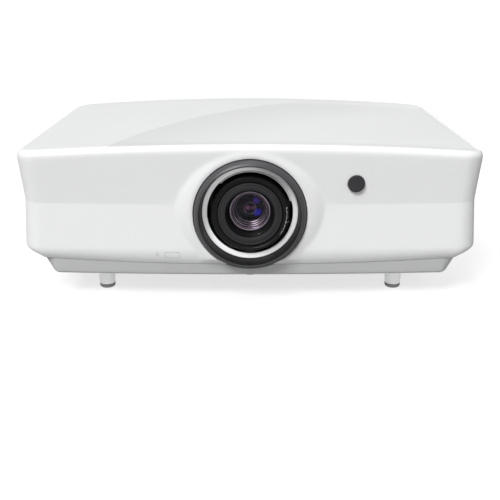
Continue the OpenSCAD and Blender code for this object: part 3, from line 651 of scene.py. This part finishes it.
# Front cell and front glass. The cell is a turned ring in matt dark grey with a stepped black
# cone inside it; the glass is a shallow dome with a violet coating, clamped by a threaded ring.
cell_lo, cell_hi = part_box("front_cell")
cell_r = (cell_hi[2] - cell_lo[2]) / 2
cell_front, cell_back = cell_lo[1] - lip_y, cell_hi[1] - lip_y
glass_r = 22.8 * mm
glass_y = 12.2 * mm
cell = lathe("front_cell_body", axis_foot, [
    (cell_r, cell_back), (cell_r, cell_front + 1 * mm), (cell_r - 0.7 * mm, cell_front + 0.1 * mm),
    (cell_r - 2.2 * mm, cell_front), (cell_r - 2.4 * mm, cell_front + 0.35 * mm),
    (cell_r - 2.8 * mm, cell_front + 0.35 * mm), (cell_r - 3 * mm, cell_front),
    (27.2 * mm, cell_front + 0.3 * mm), (26.4 * mm, cell_front + 1.1 * mm),
    (25.6 * mm, cell_front + 4 * mm), (25.2 * mm, cell_front + 4.1 * mm),
    (24.8 * mm, cell_front + 7 * mm), (24.3 * mm, cell_front + 7.1 * mm),
    (glass_r, glass_y - 1 * mm), (glass_r, glass_y), (25.8 * mm, glass_y), (25.8 * mm, cell_back)], "Y", 160)
soften(cell, 0.1 * mm, 1)
cell_grey = painted_metal("cell_grey", (0.026, 0.026, 0.028), 0.6, 0.0)
cell_grey.node_tree.nodes["Principled BSDF"].inputs["Specular IOR Level"].default_value = 0.3
finish(cell, "front_cell", "cell_grey", cell_grey, "front_cell")
two_tone(cell, lens_black, lambda r, y: r < 26.5 or y > 3.4)


def clear_glass(name, tint, ior=1.5, roughness=0.0):
    material, shader = plain_material(name, tint, roughness)
    shader.inputs["Transmission Weight"].default_value = 1
    shader.inputs["IOR"].default_value = ior
    return material


lens_back = glass_y + 3 * mm
dome_y, dome_steps = 10.4 * mm, 12
dome = [(0, dome_y)]
for i in range(1, dome_steps + 1):
    radius = (glass_r - 0.3 * mm) * i / dome_steps
    dome.append((radius, dome_y + 1.75 * mm * (i / dome_steps) ** 2))
dome += [(25.3 * mm, glass_y + 0.05 * mm), (25.3 * mm, lens_back), (0, lens_back)]
front_glass = lathe("front_glass", axis_foot, dome, "Y", 96)
smooth(front_glass, 30)
coated = clear_glass("coated_glass", (0.93, 0.90, 0.98), 1.12)
finish(front_glass, "front_cell", "coated_glass", coated, "front_lens")

# Inner lens groups. Stepped spacer rings sit behind the front glass: the front ones move with the
# front cell, and the smaller ones, with the coated element that closes the pupil and carries painted
# glints, move with the zoom group inside them. Pale metal edges catch the light between black baffles.
cell_steps = [(22.3, 15.4), (21.4, 15.6), (20.6, 18), (19.6, 18.2), (18.9, 21), (18, 21.2),
              (18, 22), (22.3, 22)]
zoom_steps = [(17.3, 24), (16.2, 24.2), (15.6, 27), (13.4, 28), (13.4, 29.6), (17.3, 29.6)]
spacer = lathe("spacer_rings", axis_foot, [(r * mm, y * mm) for r, y in cell_steps], "Y", 128)
spacer_black = painted_metal("spacer_black", (0.006, 0.006, 0.0065), 0.3, 0.0)
finish(spacer, "front_cell", "cell_grey", spacer_black)
spacer = lathe("zoom_spacer", axis_foot, [(r * mm, y * mm) for r, y in zoom_steps], "Y", 128)
finish(spacer, "zoom_group", "lens_black", spacer_black)
pale_edge = painted_metal("pale_edge", (0.62, 0.54, 0.57), 0.28, 0.6)
ring_rows = (("front_cell", 21.9, 15.3, 1.0), ("front_cell", 20.3, 17.6, 0.32),
             ("front_cell", 18.7, 20.4, 0.45), ("zoom_group", 17.2, 23.0, 0.3), ("zoom_group", 15.7, 26, 0.3))
for i, (body, radius, along, thick) in enumerate(ring_rows):
    edge = lathe("retaining_ring_" + str(i + 1), axis_foot, [
        (radius * mm, along * mm), ((radius - thick) * mm, (along + 0.25) * mm),
        ((radius - thick) * mm, (along + 1.1) * mm), (radius * mm, (along + 1.1) * mm)], "Y", 128)
    smooth(edge, 30)
    finish(edge, body, "cell_grey", pale_edge)


def glint_painted_element(name):
    """Black glass with painted reflections: violet and blue glints of its coating, painted into its colour
    towards one side.
    """
    material, shader = plain_material(name, (0.01, 0.01, 0.012), 0.08)
    nodes, links = material.node_tree.nodes, material.node_tree.links
    place = nodes.new("ShaderNodeTexCoord")
    tint = None
    # Each spot below is a painted reflection, a violet or blue glint of the coating laid into the base
    # colour.
    for centre, reach, colour in (((7.2 * mm, 8.6 * mm), 5.5 * mm, (0.12, 0.07, 0.5, 1)),
                                  ((8.2 * mm, -4.5 * mm), 6.0 * mm, (0.02, 0.02, 0.6, 1)),
                                  ((-2.6 * mm, 0.5 * mm), 4.0 * mm, (0.28, 0.10, 0.2, 1)),
                                  ((3.2 * mm, 0.5 * mm), 3.0 * mm, (0.25, 0.07, 0.2, 1))):
        away = nodes.new("ShaderNodeVectorMath")
        away.operation = "DISTANCE"
        away.inputs[1].default_value = (centre[0], lip_y + 27 * mm, axis_z + centre[1])
        links.new(place.outputs["Object"], away.inputs[0])
        fade = nodes.new("ShaderNodeMapRange")
        fade.interpolation_type = "SMOOTHSTEP"
        fade.inputs["From Min"].default_value = reach
        fade.inputs["From Max"].default_value = reach * 0.35
        links.new(away.outputs["Value"], fade.inputs["Value"])
        mix = nodes.new("ShaderNodeMix")
        mix.data_type = "RGBA"
        mix.inputs["B"].default_value = colour
        mix.inputs["A"].default_value = (0.01, 0.01, 0.012, 1)
        links.new(fade.outputs["Result"], mix.inputs["Factor"])
        if tint:
            links.new(tint.outputs["Result"], mix.inputs["A"])
        tint = mix
    links.new(tint.outputs["Result"], shader.inputs["Base Color"])
    return material


pupil_y, pupil_steps = 26.6 * mm, 8
pupil = [(0, pupil_y)]
for i in range(1, pupil_steps + 1):
    pupil.append((14.0 * mm * i / pupil_steps, pupil_y + 1.2 * mm * (i / pupil_steps) ** 2))
pupil += [(14.0 * mm, 29.4 * mm), (0, 29.4 * mm)]
element = lathe("pupil_element", axis_foot, pupil, "Y", 96)
smooth(element, 30)
# The pupil element's violet and blue glints are painted reflections.
finish(element, "zoom_group", "coated_glass", glint_painted_element("pupil_painted_glints"))
iris = lathe("iris_ring", axis_foot, [
    (6.9 * mm, 26.1 * mm), (6.2 * mm, 26.0 * mm), (6.0 * mm, 26.6 * mm), (6.9 * mm, 27.2 * mm)], "Y", 96)
smooth(iris, 30)
finish(iris, "zoom_group", "cell_grey", painted_metal("iris_grey", (0.16, 0.15, 0.14), 0.4, 0.4))
paint(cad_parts["zoom_group"], spacer_black)

# Receiver window. A smoked plastic disc for the remote control, clipped in from behind with a
# fine gap all round, slightly domed in front.
window = lathe("receiver_window", (window_x, window_lo[1], window_z), [
    (0, 0), (window_r * 0.5, 0.03 * mm), (window_r * 0.9, 0.14 * mm), (window_r - 0.2 * mm, 0.3 * mm),
    (window_r, 0.7 * mm), (window_r, 4.4 * mm), (11 * mm, 4.4 * mm), (11 * mm, 5.2 * mm),
    (0, 5.2 * mm)], "Y", 96)
smooth(window, 40)
smoked = moulded_plastic("smoked_window", (0.03, 0.03, 0.034), 0.2, 600, 0.01, 0.3)
finish(window, "case", "smoked_window", smoked, "ir_window")


# Printed mark. A small outline with a dot beside it, printed in grey low on the left of the
# front, where real cases show which side a label or a lock is on.
def ribbon(name, points, width):
    """A closed flat strip that follows points (x, z), a little in front of the case."""
    shape = bpy.data.meshes.new(name)
    piece = bpy.data.objects.new(name, shape)
    bpy.context.collection.objects.link(piece)
    count = len(points)
    strip_y = lip_y - 6 * mm
    rows, faces = [], []
    for i, (x, z) in enumerate(points):
        x0, z0 = points[i - 1]
        x1, z1 = points[(i + 1) % count]
        length = math.hypot(x1 - x0, z1 - z0)
        nx, nz = -(z1 - z0) / length * width / 2, (x1 - x0) / length * width / 2
        rows += [(x + nx, strip_y, z + nz), (x - nx, strip_y, z - nz)]
    for i in range(count):
        a, b = 2 * i, 2 * ((i + 1) % count)
        faces.append((a, a + 1, b + 1, b))
    shape.from_pydata(rows, [], faces)
    return piece


def rounded_outline(x0, x1, z0, z1, radius):
    points = []
    for cx, cz, first in ((x1 - radius, z1 - radius, 0), (x0 + radius, z1 - radius, 90),
                          (x0 + radius, z0 + radius, 180), (x1 - radius, z0 + radius, 270)):
        for k in range(5):
            angle = math.radians(first + 90 * k / 4)
            points.append((cx + radius * math.cos(angle), cz + radius * math.sin(angle)))
    dense = []
    for (xa, za), (xb, zb) in zip(points, points[1:] + points[:1]):
        pieces = max(1, round(math.hypot(xb - xa, zb - za) / (1.5 * mm)))
        dense += [(xa + (xb - xa) * k / pieces, za + (zb - za) * k / pieces) for k in range(pieces)]
    return dense


print_paint = plain_material("print_grey", (0.42, 0.42, 0.43), 0.5)[0]
for name, corners in (("printed_outline", (-92.6, -76.4, 51.8, 58.4, 1.2)),
                      ("printed_dot", (-101.8, -99.8, 54.2, 57.6, 0.6))):
    print_line = ribbon(name, rounded_outline(*[c * mm for c in corners]), 0.35 * mm)
    apply(print_line, "SHRINKWRAP", target=cover, wrap_method="PROJECT", use_project_y=True,
          use_positive_direction=True, use_negative_direction=False, offset=0.03 * mm)
    edit(print_line, "VERT")
    face_outward()
    leave_edit()
    apply(print_line, "SOLIDIFY", thickness=0.04 * mm, offset=0)
    finish(print_line, "case", "trim_dark", print_paint)

# Feet. Each is a light grey moulded screw leg, slightly tapered, that turns in the tub to set
# the height, with a dark rubber pad under it.
foot_grey = moulded_plastic("foot_grey", (0.84, 0.845, 0.85), 0.45, 1200, 0.06)
rubber = moulded_plastic("rubber_pad", (0.19, 0.19, 0.195), 0.8, 1800, 0.3)
for corner in ("fl", "fr", "rl", "rr"):
    low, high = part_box("foot_screw_" + corner)
    pad_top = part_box("foot_pad_" + corner)[1][2]
    middle = ((low[0] + high[0]) / 2, (low[1] + high[1]) / 2, 0)
    r = (high[0] - low[0]) / 2
    leg = lathe("foot_leg_" + corner, middle, [
        (0, low[2]), (r - 1 * mm, low[2]), (r - 0.8 * mm, low[2] + 0.3 * mm), (r - 0.6 * mm, low[2] + 6 * mm),
        (r - 0.1 * mm, under_z - 3 * mm), (r, under_z - 2 * mm), (r, high[2] - 0.4 * mm),
        (r - 0.4 * mm, high[2]), (0, high[2])], "Z", 64)
    soften(leg, 0.2 * mm)
    finish(leg, "foot_screw_" + corner, "foot_grey", foot_grey, "foot_screw_" + corner)
    table_glow.objects.link(leg)
    pad = lathe("foot_rubber_" + corner, middle, [
        (0, 0), (r - 2.6 * mm, 0), (r - 1.9 * mm, 0.25 * mm), (r - 1.2 * mm, 0.9 * mm),
        (r - 0.85 * mm, 1.9 * mm), (r - 0.8 * mm, 3.2 * mm), (r - 0.8 * mm, pad_top - 0.3 * mm),
        (r - 1.1 * mm, pad_top), (0, pad_top)], "Z", 64)
    smooth(pad, 30)
    finish(pad, "foot_pad_" + corner, "rubber_pad", rubber, "foot_pad_" + corner)
    table_glow.objects.link(pad)


# Carried-over pieces. Everything else keeps its exact shape and takes a finish that suits what
# it is made of: sheet steel, castings, boards, copper, glass and black moulded plastic.
def board_finish(name, colour, track):
    material, shader = plain_material(name, colour, 0.35)
    nodes, links = material.node_tree.nodes, material.node_tree.links
    place = nodes.new("ShaderNodeTexCoord")
    tracks = nodes.new("ShaderNodeTexBrick")
    tracks.inputs["Scale"].default_value = 130
    tracks.inputs["Mortar Size"].default_value = 0.03
    tracks.inputs["Color1"].default_value = (*colour, 1)
    tracks.inputs["Color2"].default_value = (*[c * 0.8 for c in colour], 1)
    tracks.inputs["Mortar"].default_value = (*track, 1)
    links.new(place.outputs["Object"], tracks.inputs["Vector"])
    links.new(tracks.outputs["Color"], shader.inputs["Base Color"])
    return material


def brushed(name, colour, roughness, stretch=(40, 900, 900)):
    material, shader = plain_material(name, colour, roughness)
    shader.inputs["Metallic"].default_value = 1
    nodes, links = material.node_tree.nodes, material.node_tree.links
    place = nodes.new("ShaderNodeTexCoord")
    scale = nodes.new("ShaderNodeMapping")
    scale.inputs["Scale"].default_value = stretch
    lines = nodes.new("ShaderNodeTexNoise")
    lines.inputs["Scale"].default_value = 1
    spread_out = nodes.new("ShaderNodeMapRange")
    spread_out.inputs["To Min"].default_value = roughness * 0.7
    spread_out.inputs["To Max"].default_value = roughness * 1.3
    links.new(place.outputs["Object"], scale.inputs["Vector"])
    links.new(scale.outputs["Vector"], lines.inputs["Vector"])
    links.new(lines.outputs["Fac"], spread_out.inputs["Value"])
    links.new(spread_out.outputs["Result"], shader.inputs["Roughness"])
    return material


grille_white = moulded_plastic("grille_white", (0.84, 0.845, 0.85), 0.42, 1200, 0.06)
rear_plate = moulded_plastic("rear_plate", (0.035, 0.035, 0.038), 0.55, 900, 0.35)
black_plastic = moulded_plastic("black_plastic", (0.012, 0.012, 0.013), 0.45, 1200, 0.1)
key_black = moulded_plastic("key_black", (0.05, 0.05, 0.054), 0.6, 1500, 0.1)
sheet_steel = brushed("sheet_steel", (0.6, 0.61, 0.62), 0.3)
port_metal = brushed("port_metal", (0.62, 0.62, 0.62), 0.32)
bare_aluminium = brushed("bare_aluminium", (0.75, 0.76, 0.77), 0.35)
dark_aluminium = brushed("dark_aluminium", (0.09, 0.095, 0.1), 0.4)
cast_grey = painted_metal("cast_grey", (0.3, 0.31, 0.32), 0.6, 0.8)
copper = brushed("copper", (0.72, 0.35, 0.2), 0.3)
polished_steel = brushed("polished_steel", (0.7, 0.7, 0.71), 0.15)
brass_insert = brushed("brass_insert", (0.72, 0.52, 0.22), 0.25)
clear = clear_glass("clear_glass", (0.93, 0.97, 0.97))
dichroic = clear_glass("dichroic_glass", (0.3, 0.55, 0.9))
phosphor = painted_metal("phosphor", (0.75, 0.62, 0.08), 0.5, 0.1)
lamp_green, lamp_shader = plain_material("led_green", (0.1, 0.6, 0.2), 0.25)
lamp_shader.inputs["Transmission Weight"].default_value = 0.4
circuit_green = board_finish("circuit_green", (0.02, 0.16, 0.06), (0.3, 0.3, 0.12))
supply_board = board_finish("supply_board", (0.3, 0.2, 0.08), (0.12, 0.08, 0.03))
finishes = {
    "left_grille": grille_white, "right_grille": grille_white, "rear_panel": rear_plate,
    "chassis_tray": sheet_steel, "main_board": circuit_green, "psu_board": supply_board,
    "dmd_board": circuit_green, "keypad_board": circuit_green, "power_inlet": black_plastic,
    "signal_ports": port_metal, "laser_bank": cast_grey, "laser_heatsink": bare_aluminium,
    "dmd_heatsink": bare_aluminium, "heat_pipes": copper, "wheel_housing": cast_grey,
    "wheel_motors": polished_steel, "light_tunnel": dark_aluminium, "relay_lenses": clear,
    "engine_housing": cast_grey, "prism": clear, "lens_mount": cast_grey, "lens_carriage": cast_grey,
    "guide_pins": polished_steel, "fan_frames": black_plastic, "intake_rotor": black_plastic,
    "exhaust_rotor": black_plastic, "speakers": black_plastic, "status_leds": lamp_green,
    "cover_screws": polished_steel, "mount_inserts": brass_insert, "lens_barrel": anodised,
    "rear_lens_group": anodised, "shift_wheel": black_plastic, "phosphor_wheel": phosphor,
    "colour_wheel": dichroic,
}
for key in ("power", "menu", "enter", "up", "down", "left", "right"):
    finishes[key + "_button"] = key_black
for node, material in finishes.items():
    paint(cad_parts[node], material)
